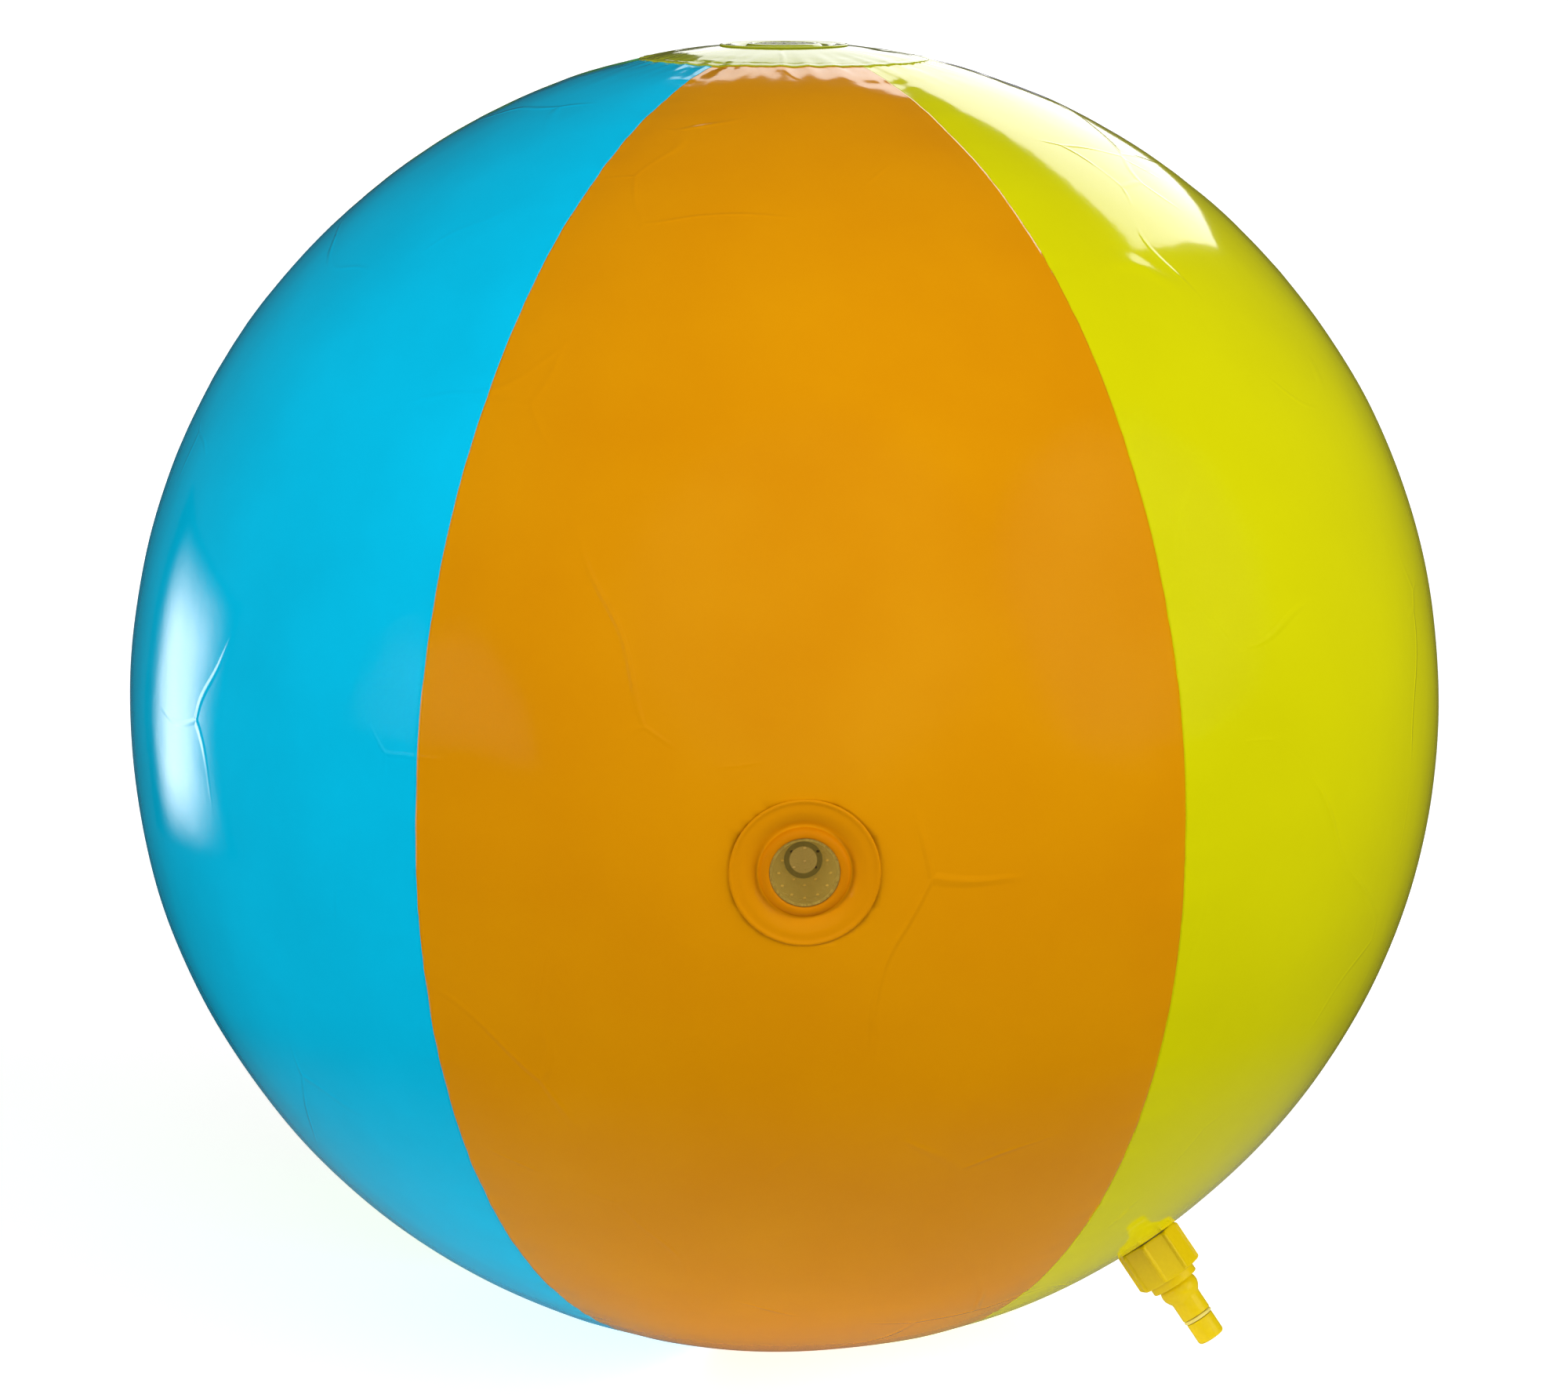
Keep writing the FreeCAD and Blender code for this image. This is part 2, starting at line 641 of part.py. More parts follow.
port_directions = {side: (azimuth, cell("port_latitude")) for side, azimuth in PORT_AZIMUTHS.items()}
port_directions["top"] = (0.0, 90.0)
for side, (azimuth, latitude) in port_directions.items():
    lift = cell("bond_gap") if side == "top" else 0.0
    nodes += spray_port(side, surface_pose(azimuth, latitude, cell("ball_radius") + lift))
nodes.append(hub(list(port_directions.values()) + [(cell("inlet_azimuth"), cell("inlet_latitude"))]))

for piece in (inlet_flange(), inlet_spigot(), feed_tube("inlet_tube", -9.0), hose_washer(), hose_adaptor(),
              stem_seal()):
    piece.Placement = INLET_POSE
    nodes.append(piece)
nodes[-1].Placement = INLET_POSE * FreeCAD.Placement(FreeCAD.Vector(0, 0, cell("seal_height")),
                                                      FreeCAD.Rotation())
for piece in (valve_flange(), valve_stem(), valve_plug(), valve_flap()):
    piece.Placement = VALVE_POSE
    nodes.append(piece)

doc.recompute()

# ---------------------------------------------------------------- checks and output
for thing in doc.Objects:
    if "Invalid" in thing.State or "Error" in thing.State:
        raise RuntimeError(f"{thing.Label} failed: {thing.State}")
for node in nodes:
    shape = node.Shape
    if shape.isNull() or not shape.isValid() or shape.Volume <= 0 or len(shape.Solids) != 1:
        raise RuntimeError(f"{node.Label} has no single valid solid")
for node in nodes:
    node.Shape.exportStep(f"parts/{node.Label}.step")
    box = node.Shape.BoundBox
    print(f"{node.Label:20s} {node.Shape.Volume / 1000:9.3f} cm3  x {box.XMin:7.1f} {box.XMax:7.1f}"
          f"  y {box.YMin:7.1f} {box.YMax:7.1f}  z {box.ZMin:7.1f} {box.ZMax:7.1f}")
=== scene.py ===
import json
import math

import bmesh
import bpy
from mathutils import Matrix, Vector, noise


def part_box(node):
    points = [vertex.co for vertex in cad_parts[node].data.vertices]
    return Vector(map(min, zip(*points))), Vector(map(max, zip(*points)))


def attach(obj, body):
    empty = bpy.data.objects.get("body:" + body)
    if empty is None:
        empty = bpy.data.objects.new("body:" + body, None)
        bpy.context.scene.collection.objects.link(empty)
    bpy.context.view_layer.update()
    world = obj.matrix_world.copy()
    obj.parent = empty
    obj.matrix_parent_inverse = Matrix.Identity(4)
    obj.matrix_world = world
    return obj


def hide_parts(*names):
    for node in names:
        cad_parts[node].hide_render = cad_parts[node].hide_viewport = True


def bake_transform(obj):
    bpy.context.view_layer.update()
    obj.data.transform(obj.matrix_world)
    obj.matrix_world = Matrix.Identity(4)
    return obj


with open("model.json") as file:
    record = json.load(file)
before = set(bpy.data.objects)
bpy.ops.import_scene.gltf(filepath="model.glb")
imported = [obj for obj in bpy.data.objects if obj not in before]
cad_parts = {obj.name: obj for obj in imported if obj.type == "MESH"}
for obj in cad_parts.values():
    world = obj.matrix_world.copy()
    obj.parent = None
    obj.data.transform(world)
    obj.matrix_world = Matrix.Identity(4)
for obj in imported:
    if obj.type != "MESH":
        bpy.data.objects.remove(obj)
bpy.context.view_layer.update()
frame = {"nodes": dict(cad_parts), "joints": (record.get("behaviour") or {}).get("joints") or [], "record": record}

# ---------------------------------------------------------------- sizes read from the frame
MM = 0.001
PANELS = ["orange", "yellow", "white", "red", "green", "blue"]
PANEL_ANGLE = math.radians(60)
SIDES = ["front", "right", "left", "top"]
DISH_COLOUR = {"front": "orange", "right": "white", "left": "green", "top": "cap"}


def middle(node):
    """The middle of a CAD node's box."""
    low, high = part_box(node)
    return (low + high) / 2


panel_low, panel_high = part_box("panel_blue")
CENTRE = Vector((0, 0, (panel_low.z + panel_high.z) / 2))
RADIUS = -panel_low.x
cap_low, cap_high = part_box("cap_top")
CAP_ANGLE = math.asin((cap_high.x - cap_low.x) / 2 / RADIUS)
TIP_ANGLE = math.acos((panel_high.z - CENTRE.z) / RADIUS)
dish_low, dish_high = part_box("port_dish_top")
DISH_RADIUS = (dish_high.x - dish_low.x) / 2
plate_low, plate_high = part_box("spray_plate_top")
PLATE_RADIUS = (plate_high.x - plate_low.x) / 2
nipple = next(m for m in frame["record"]["mounts"] if m["name"] == "hose_nipple")
valve_joint = next(j for j in frame["joints"] if j["name"] == "valve_pull")

PORT_AXES = {side: (middle(f"spray_plate_{side}") - CENTRE).normalized() for side in SIDES}
INLET_AXIS = Vector(nipple["axis"]).normalized()
VALVE_AXIS = Vector(valve_joint["axis"]).normalized()
FILM = 0.4 * MM


def local_frame(axis, reach):
    """A matrix whose Z runs outward along an axis and whose X points down, with its origin at a reach."""
    azimuth = math.atan2(axis.x, -axis.y) if axis.z < 0.999 else 0.0
    east = Vector((math.cos(azimuth), math.sin(azimuth), 0))
    down = east.cross(axis)
    turn = Matrix((down, axis.cross(down), axis)).transposed().to_4x4()
    return Matrix.Translation(CENTRE + axis * reach) @ turn


# ---------------------------------------------------------------- materials
CREASES_PER_METRE, CREASE_WIDTH, CREASE_BEND = 7.5, 0.014, 0.12
FILM_ROUGHNESS = (0.05, 0.11)
FILM_BUMP = 0.6 * MM
MOULDING_BUMP = 0.2 * MM
TUBE_BORE, TUBE_BORE_EDGE = 6.0 * MM, 6.4 * MM
# The tube's near-black wall tone is painted shade; its pale bore tone and its emission are painted light.
TUBE_WALL_PAINTED_SHADE, TUBE_BORE_PAINTED_LIGHT = (0.035, 0.028, 0.014), (0.60, 0.46, 0.16)
TUBE_ROUGHNESS, TUBE_PAINTED_GLOW = (0.2, 0.4), 0.25


def new_material(name):
    """A node material, its tree and its shader."""
    material = bpy.data.materials.new(name)
    material.use_nodes = True
    nodes = material.node_tree.nodes
    return material, material.node_tree, nodes["Principled BSDF"]


def link(tree, start, end):
    """Join two sockets of a tree."""
    tree.links.new(start, end)


def map_range(tree, source, start, end, low, high, smooth=False):
    """A node that maps a socket's value from start..end to low..high."""
    node = tree.nodes.new("ShaderNodeMapRange")
    node.interpolation_type = "SMOOTHSTEP" if smooth else "LINEAR"
    for label, number in (("From Min", start), ("From Max", end), ("To Min", low), ("To Max", high)):
        node.inputs[label].default_value = number
    link(tree, source, node.inputs["Value"])
    return node.outputs["Result"]


def combine(tree, operation, first, second):
    """A node that works out one number from two sockets."""
    node = tree.nodes.new("ShaderNodeMath")
    node.operation = operation
    link(tree, first, node.inputs[0])
    link(tree, second, node.inputs[1])
    return node.outputs[0]


def noise_value(tree, place, scale, detail=2.0):
    """A noise texture of a scale and a detail, over a place socket."""
    texture = tree.nodes.new("ShaderNodeTexNoise")
    texture.inputs["Scale"].default_value = scale
    texture.inputs["Detail"].default_value = detail
    link(tree, place, texture.inputs["Vector"])
    return texture


def two_tones(tree, mask, shade, colour):
    """A node that goes from a shade to a colour as a mask goes from 0 to 1."""
    tone = tree.nodes.new("ShaderNodeMixRGB")
    tone.inputs[1].default_value = (*shade, 1)
    tone.inputs[2].default_value = (*colour, 1)
    link(tree, mask, tone.inputs[0])
    return tone.outputs[0]


def bumped(tree, height, strength, distance):
    """A node that tilts the normal by a height."""
    relief = tree.nodes.new("ShaderNodeBump")
    relief.inputs["Strength"].default_value = strength
    relief.inputs["Distance"].default_value = distance
    link(tree, height, relief.inputs["Height"])
    return relief.outputs["Normal"]


def node_group(name, inputs, outputs):
    """An empty node group with float sockets, and its two end nodes."""
    group = bpy.data.node_groups.new(name, "ShaderNodeTree")
    for label in inputs:
        group.interface.new_socket(label, in_out="INPUT", socket_type="NodeSocketFloat")
    for label in outputs:
        group.interface.new_socket(label, in_out="OUTPUT", socket_type="NodeSocketFloat")
    return group, group.nodes.new("NodeGroupInput"), group.nodes.new("NodeGroupOutput")


def film_group():
    """Unevenness of blown PVC film: creases from being folded, fine ripples and a faint mottle."""
    group, inside, outside = node_group("film_surface", ["Crease", "Ripple"], ["Height", "Mottle", "Gloss"])
    place = group.nodes.new("ShaderNodeTexCoord").outputs["Object"]

    bend = noise_value(group, place, 5.0)
    shift = group.nodes.new("ShaderNodeMixRGB")
    shift.inputs[0].default_value = CREASE_BEND
    link(group, place, shift.inputs[1])
    link(group, bend.outputs["Color"], shift.inputs[2])
    cracks = group.nodes.new("ShaderNodeTexVoronoi")
    cracks.feature = "DISTANCE_TO_EDGE"
    cracks.inputs["Scale"].default_value = CREASES_PER_METRE
    link(group, shift.outputs[0], cracks.inputs["Vector"])
    line = map_range(group, cracks.outputs["Distance"], 0.0, CREASE_WIDTH, 1.0, 0.0, smooth=True)
    patches = noise_value(group, place, 9.0)
    creased_part = map_range(group, patches.outputs["Fac"], 0.5, 0.68, 0.0, 1.0)
    lined = combine(group, "MULTIPLY", line, creased_part)
    creases = combine(group, "MULTIPLY", lined, inside.outputs["Crease"])

    ripples = noise_value(group, place, 60.0, 3.0)
    rippled = combine(group, "MULTIPLY", ripples.outputs["Fac"], inside.outputs["Ripple"])
    link(group, combine(group, "ADD", creases, rippled), outside.inputs["Height"])

    mottle = noise_value(group, place, 14.0, 6.0)
    link(group, mottle.outputs["Fac"], outside.inputs["Mottle"])
    link(group, map_range(group, mottle.outputs["Fac"], 0.0, 1.0, *FILM_ROUGHNESS), outside.inputs["Gloss"])
    return group


def grain_group():
    """The faint orange-peel surface of moulded plastic and of rubber."""
    inputs = ["Scale", "Smoothest", "Roughest"]
    group, inside, outside = node_group("moulded_grain", inputs, ["Grain", "Gloss"])
    place = group.nodes.new("ShaderNodeTexCoord").outputs["Object"]
    grain = noise_value(group, place, 1.0, 4.0)
    link(group, inside.outputs["Scale"], grain.inputs["Scale"])
    link(group, grain.outputs["Fac"], outside.inputs["Grain"])
    gloss = group.nodes.new("ShaderNodeMapRange")
    link(group, grain.outputs["Fac"], gloss.inputs["Value"])
    link(group, inside.outputs["Smoothest"], gloss.inputs["To Min"])
    link(group, inside.outputs["Roughest"], gloss.inputs["To Max"])
    link(group, gloss.outputs["Result"], outside.inputs["Gloss"])
    return group


FILM_GROUP = film_group()
GRAIN_GROUP = grain_group()


def vinyl(name, colour, shade, crease=1.5, ripple=0.3, bump=0.5):
    """Glossy coloured PVC: two close tones mottled together, with the film's creases as bump."""
    material, tree, shader = new_material(name)
    film = tree.nodes.new("ShaderNodeGroup")
    film.node_tree = FILM_GROUP
    film.inputs["Crease"].default_value = crease
    film.inputs["Ripple"].default_value = ripple
    link(tree, two_tones(tree, film.outputs["Mottle"], shade, colour), shader.inputs["Base Color"])
    link(tree, film.outputs["Gloss"], shader.inputs["Roughness"])
    link(tree, bumped(tree, film.outputs["Height"], bump, FILM_BUMP), shader.inputs["Normal"])
    shader.inputs["IOR"].default_value = 1.5
    return material


VINYL = {
    "orange": vinyl("vinyl_orange", (0.76, 0.32, 0.0003), (0.68, 0.25, 0.0003)),
    "yellow": vinyl("vinyl_yellow_green", (0.72, 0.70, 0.0005), (0.66, 0.63, 0.0005)),
    "white": vinyl("vinyl_white", (0.80, 0.80, 0.84), (0.74, 0.74, 0.80)),
    "red": vinyl("vinyl_red", (0.70, 0.05, 0.03), (0.62, 0.04, 0.03)),
    "green": vinyl("vinyl_green", (0.10, 0.52, 0.12), (0.08, 0.46, 0.10)),
    "blue": vinyl("vinyl_blue", (0.0003, 0.60, 0.93), (0.0003, 0.48, 0.75)),
    "cap": vinyl("vinyl_cap", (0.46, 0.50, 0.02), (0.40, 0.44, 0.02)),
}
# The dish's vinyl is a slightly darker copy of the gore's: painted shade in the dimple round each port.
DISH_PAINTED_SHADE = {
    "orange": vinyl("dish_orange", (0.72, 0.275, 0.0005), (0.66, 0.24, 0.0005), 0.0, 0.5),
    "white": vinyl("dish_white", (0.78, 0.78, 0.82), (0.72, 0.72, 0.78), 0.0, 0.5),
    "green": vinyl("dish_green", (0.09, 0.46, 0.10), (0.07, 0.40, 0.09), 0.0, 0.5),
    "cap": vinyl("dish_cap", (0.42, 0.46, 0.02), (0.36, 0.40, 0.02), 0.0, 0.5),
}
# The lip's vinyl is a darker copy of the dish's: painted shade on the lip, the inner side of its groove and the
# recess round the plate.
LIP_PAINTED_SHADE = {
    "orange": vinyl("lip_orange", (0.66, 0.225, 0.0005), (0.60, 0.19, 0.0005), 0.0, 0.5),
    "white": vinyl("lip_white", (0.72, 0.72, 0.76), (0.66, 0.66, 0.72), 0.0, 0.5),
    "green": vinyl("lip_green", (0.06, 0.36, 0.08), (0.05, 0.30, 0.07), 0.0, 0.5),
    "cap": vinyl("lip_cap", (0.36, 0.40, 0.01), (0.30, 0.34, 0.01), 0.0, 0.5),
}


def moulding(name, colour, shade, roughness, scale, bump, alpha=1.0, painted_glow=0.0):
    """A moulded plastic with a faint orange-peel surface; its emission is painted light, standing in for light
    that comes through it.
    """
    material, tree, shader = new_material(name)
    grain = tree.nodes.new("ShaderNodeGroup")
    grain.node_tree = GRAIN_GROUP
    grain.inputs["Scale"].default_value = scale
    grain.inputs["Smoothest"].default_value = roughness * 0.8
    grain.inputs["Roughest"].default_value = roughness * 1.3
    tone = two_tones(tree, grain.outputs["Grain"], shade, colour)
    link(tree, tone, shader.inputs["Base Color"])
    link(tree, grain.outputs["Gloss"], shader.inputs["Roughness"])
    link(tree, bumped(tree, grain.outputs["Grain"], bump, MOULDING_BUMP), shader.inputs["Normal"])
    shader.inputs["Alpha"].default_value = alpha
    # The emission is painted light: the part emits light though it is no lamp.
    link(tree, tone, shader.inputs["Emission Color"])
    shader.inputs["Emission Strength"].default_value = painted_glow
    return material


YELLOW_PLASTIC = moulding("adaptor_yellow", (0.68, 0.50, 0.0003), (0.62, 0.43, 0.0003), 0.22, 500.0, 0.15)
CUP_TINT = {
    "orange": (0.80, 0.58, 0.12),
    "white": (0.80, 0.80, 0.82),
    "green": (0.30, 0.62, 0.26),
    "cap": (0.50, 0.50, 0.14),
}
PLATE_TINT = {
    "orange": (0.28, 0.19, 0.03),
    "white": (0.34, 0.34, 0.35),
    "green": (0.12, 0.26, 0.10),
    "cap": (0.24, 0.24, 0.08),
}
# The cups' emission is painted light, standing in for light that comes through the clear plastic.
CUP_SHADE, CUP_PAINTED_GLOW = 0.86, 0.16
PLATE_SHADE, PLATE_ALPHA = 0.72, 0.35
CLEAR_CUP = {}
CLEAR_PLATE = {}
for colour_name, tint in CUP_TINT.items():
    darker = [CUP_SHADE * part for part in tint]
    CLEAR_CUP[colour_name] = moulding(f"clear_cup_{colour_name}", tint, darker, 0.25, 200.0, 0.2,
                                      painted_glow=CUP_PAINTED_GLOW)
for colour_name, tint in PLATE_TINT.items():
    darker = [PLATE_SHADE * part for part in tint]
    CLEAR_PLATE[colour_name] = moulding(f"clear_plate_{colour_name}", tint, darker, 0.12, 300.0, 0.2,
                                        alpha=PLATE_ALPHA)


def tube_material(name, axis):
    """Soft tube: its wall is painted near black, as painted shade for how it looks end on, and its bore is painted
    pale and given emission, as painted light for what comes through the wall.
    """
    material, tree, shader = new_material(name)
    place = tree.nodes.new("ShaderNodeTexCoord")
    ray = tree.nodes.new("ShaderNodeVectorMath")
    ray.operation = "SUBTRACT"
    ray.inputs[1].default_value = CENTRE
    link(tree, place.outputs["Object"], ray.inputs[0])
    across = tree.nodes.new("ShaderNodeVectorMath")
    across.operation = "CROSS_PRODUCT"
    across.inputs[1].default_value = axis
    link(tree, ray.outputs[0], across.inputs[0])
    distance = tree.nodes.new("ShaderNodeVectorMath")
    distance.operation = "LENGTH"
    link(tree, across.outputs[0], distance.inputs[0])
    # Painted light and shade: pale inside the bore, near black on the wall, by distance from the tube's axis.
    painted_light_bore = map_range(tree, distance.outputs["Value"], TUBE_BORE_EDGE, TUBE_BORE, 0.0, 1.0)
    tone = two_tones(tree, painted_light_bore, TUBE_WALL_PAINTED_SHADE, TUBE_BORE_PAINTED_LIGHT)
    link(tree, tone, shader.inputs["Base Color"])
    link(tree, tone, shader.inputs["Emission Color"])
    shader.inputs["Emission Strength"].default_value = TUBE_PAINTED_GLOW
    grain = noise_value(tree, place.outputs["Object"], 220.0)
    link(tree, map_range(tree, grain.outputs["Fac"], 0.0, 1.0, *TUBE_ROUGHNESS), shader.inputs["Roughness"])
    return material


HUB_PLASTIC = moulding("hub_plastic", (0.78, 0.79, 0.78), (0.70, 0.71, 0.71), 0.35, 200.0, 0.3)
BLACK_RUBBER = moulding("washer_rubber", (0.03, 0.03, 0.03), (0.018, 0.018, 0.018), 0.6, 900.0, 0.6)
PALE_RUBBER = moulding("seal_rubber", (0.72, 0.60, 0.16), (0.66, 0.54, 0.12), 0.4, 900.0, 0.3)
CLEAR_VINYL = moulding("clear_vinyl", (0.80, 0.83, 0.84), (0.72, 0.76, 0.78), 0.18, 150.0, 0.2, alpha=0.6)


# ---------------------------------------------------------------- mesh helpers
def finish_piece(name, mesh_data, materials, body, replaces):
    """Turn a bmesh into a piece that rides a body and stands for CAD nodes."""
    mesh = bpy.data.meshes.new(name)
    bmesh.ops.recalc_face_normals(mesh_data, faces=mesh_data.faces[:])
    mesh_data.to_mesh(mesh)
    mesh_data.free()
    piece = bpy.data.objects.new(name, mesh)
    bpy.context.scene.collection.objects.link(piece)
    for material in materials:
        mesh.materials.append(material)
    for face in mesh.polygons:
        face.use_smooth = True
    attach(piece, body)
    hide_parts(*replaces)
    return piece


def sweep(mesh_data, geometry, axis, stretches, centre=CENTRE):
    """Spin geometry about an axis through a centre, in stretches of (angle, steps)."""
    for angle, steps in stretches:
        result = bmesh.ops.spin(mesh_data, geom=geometry, cent=centre, axis=axis, angle=angle, steps=steps,
                                use_merge=False, use_duplicate=False)
        geometry = result["geom_last"]
    return geometry


def thicken(piece, thickness):
    """Give a sheet its film's thickness, inwards."""
    wall = piece.modifiers.new("wall", "SOLIDIFY")
    wall.thickness = thickness
    wall.offset = -1.0


# ---------------------------------------------------------------- shape of the skin
# Each kind of unevenness has a height, and a reach over which it dies away from its weld.
VALLEY_DEPTH, VALLEY_REACH = 0.55 * MM, 12 * MM
PUCKER_HEIGHT, PUCKER_REACH = 0.8 * MM, 13 * MM
LONG_PUCKER_HEIGHT, LONG_PUCKER_REACH = 0.5 * MM, 40 * MM
FOLD_HEIGHT, FOLD_REACH = 0.6 * MM, 16 * MM
FINE_FOLD_HEIGHT, FINE_FOLD_REACH = 0.22 * MM, 11 * MM
BROAD_SWELL, NARROW_SWELL = 1.0 * MM, 0.35 * MM
CALM_REACH = 18 * MM
INLET_WELD, VALVE_WELD = 14 * MM, 9 * MM


def wrinkle(along, size_along, away, size_away, seed):
    """Noise that is longer one way than the other: its sizes are along a weld and away from it."""
    return noise.noise(Vector((along / size_along, away / size_away, seed)))


def port_distance(direction):
    """Distance over the skin to the nearest welded fitting's edge."""
    edges = [(axis, DISH_RADIUS) for axis in PORT_AXES.values()]
    edges += [(INLET_AXIS, INLET_WELD), (VALVE_AXIS, VALVE_WELD)]
    return min(RADIUS * math.acos(max(-1.0, min(1.0, direction.dot(axis)))) - edge for axis, edge in edges)


def seam_relief(polar, azimuth):
    """The valley along each seam, and the puckers that run out from it."""
    seam_step = azimuth / PANEL_ANGLE - 0.5
    seam = round(seam_step)
    from_seam = abs(seam_step - seam) * PANEL_ANGLE * RADIUS * math.sin(polar)
    along = RADIUS * polar
    valley = -VALLEY_DEPTH * math.exp(-(from_seam / VALLEY_REACH) ** 2)
    strength = 0.5 + 0.5 * noise.noise(Vector((along / (70 * MM), seam * 7.1, 3.3)))
    puckers = PUCKER_HEIGHT * strength * math.exp(-from_seam / PUCKER_REACH)
    puckers *= wrinkle(along, 8.5 * MM, from_seam, 30 * MM, seam * 13.7)
    long_puckers = LONG_PUCKER_HEIGHT * math.exp(-from_seam / LONG_PUCKER_REACH)
    long_puckers *= wrinkle(along, 35 * MM, from_seam, 90 * MM, seam * 5.3 + 40)
    return valley + puckers + long_puckers


def cap_relief(polar, azimuth):
    """The folds that cross the rim of each polar cap."""
    rim = min(abs(polar - CAP_ANGLE), abs(math.pi - polar - CAP_ANGLE)) * RADIUS
    arc = azimuth * RADIUS * math.sin(CAP_ANGLE)
    top = polar < 1
    folds = FOLD_HEIGHT * math.exp(-rim / FOLD_REACH)
    folds *= wrinkle(arc, 6.5 * MM, rim, 30 * MM, 9.0 if top else 19.0)
    fine_folds = FINE_FOLD_HEIGHT * math.exp(-rim / FINE_FOLD_REACH)
    fine_folds *= wrinkle(arc, 3.2 * MM, rim, 11 * MM, 29.0 if top else 39.0)
    return folds + fine_folds


def skin_relief(direction):
    """How far the film stands off a true ball, along the normal, at a direction from the centre."""
    polar = math.acos(max(-1.0, min(1.0, direction.z)))
    azimuth = math.atan2(direction.x, -direction.y)
    swell = BROAD_SWELL * noise.noise(direction * 2.3)
    swell += NARROW_SWELL * noise.noise(direction * 7.0 + Vector((5, 5, 5)))
    calm = 1 - math.exp(-(max(0.0, port_distance(direction)) / CALM_REACH) ** 2)
    return (seam_relief(polar, azimuth) + cap_relief(polar, azimuth) + swell) * calm


def settle_on_skin(mesh_data):
    """Move every vertex to the film's surface, and flat where the ball rests."""
    for vertex in mesh_data.verts:
        ray = vertex.co - CENTRE
        direction = ray.normalized()
        vertex.co = CENTRE + direction * (RADIUS + skin_relief(direction))
        vertex.co.z = max(vertex.co.z, 0.0)


# ---------------------------------------------------------------- gore panels
DISH_LAP = 3 * MM
INLET_HOLE, VALVE_HOLE = 13.6 * MM, 8.6 * MM
HOLE_REACH = 6 * MM
NEAR_CAP, NEAR_CAP_STEPS, LENGTH_STEPS = math.radians(9), 26, 200
NEAR_SEAM, NEAR_SEAM_STEPS, WIDTH_STEPS = math.radians(6), 22, 60


def gore_panel(colour, index):
    """One gore from cap to cap, with finer steps near its welds."""
    start = (index - 0.5) * PANEL_ANGLE
    side = Vector((math.cos(start), math.sin(start), 0))
    mesh_data = bmesh.new()
    top = Vector((math.sin(start) * math.sin(TIP_ANGLE), -math.cos(start) * math.sin(TIP_ANGLE),
                  math.cos(TIP_ANGLE)))
    tip = mesh_data.verts.new(CENTRE + top * RADIUS)
    ends = (NEAR_CAP, NEAR_CAP_STEPS)
    length = (math.pi - 2 * TIP_ANGLE - 2 * NEAR_CAP, LENGTH_STEPS)
    sweep(mesh_data, [tip], side, [ends, length, ends])
    edge = mesh_data.verts[:] + mesh_data.edges[:]
    sides = (NEAR_SEAM, NEAR_SEAM_STEPS)
    width = (PANEL_ANGLE - 2 * NEAR_SEAM, WIDTH_STEPS)
    sweep(mesh_data, edge, Vector((0, 0, 1)), [sides, width, sides])
    settle_on_skin(mesh_data)
    cut_holes(mesh_data)
    panel = finish_piece(f"gore_{colour}", mesh_data, [VINYL[colour]], "ball", [f"panel_{colour}"])
    thicken(panel, FILM)
    return panel


def cut_holes(mesh_data):
    """Open a round hole in the film under each welded fitting."""
    openings = [(axis, DISH_RADIUS - DISH_LAP) for axis in PORT_AXES.values()]
    openings += [(INLET_AXIS, INLET_HOLE), (VALVE_AXIS, VALVE_HOLE)]
    for axis, hole in openings:
        def off_axis(point):
            """Distance from the opening's axis, or a metre for a point on the ball's far side."""
            ray = point - CENTRE
            return (ray - axis * ray.dot(axis)).length if ray.dot(axis) > 0 else 1.0

        inside = [face for face in mesh_data.faces if off_axis(face.calc_center_median()) < hole]
        if not inside:
            continue
        bmesh.ops.delete(mesh_data, geom=inside, context="FACES")
        for vertex in mesh_data.verts:
            ray = vertex.co - CENTRE
            distance = off_axis(vertex.co)
            if vertex.is_boundary and distance < hole + HOLE_REACH:
                across = (ray - axis * ray.dot(axis)).normalized()
                reach = ray.length
                height = math.sqrt(reach * reach - hole * hole)
                vertex.co = CENTRE + across * hole + axis * height


for number, colour_name in enumerate(PANELS):
    gore_panel(colour_name, number)


# ---------------------------------------------------------------- polar caps
CAP_LIFT = 0.45 * MM
CAP_RINGS, CAP_STEPS = 40, 240
CLOSED_POLE = 0.002
WELD_DEPTH, WELD_INSET, WELD_WIDTH = 0.22 * MM, 4.5 * MM, 1.0 * MM


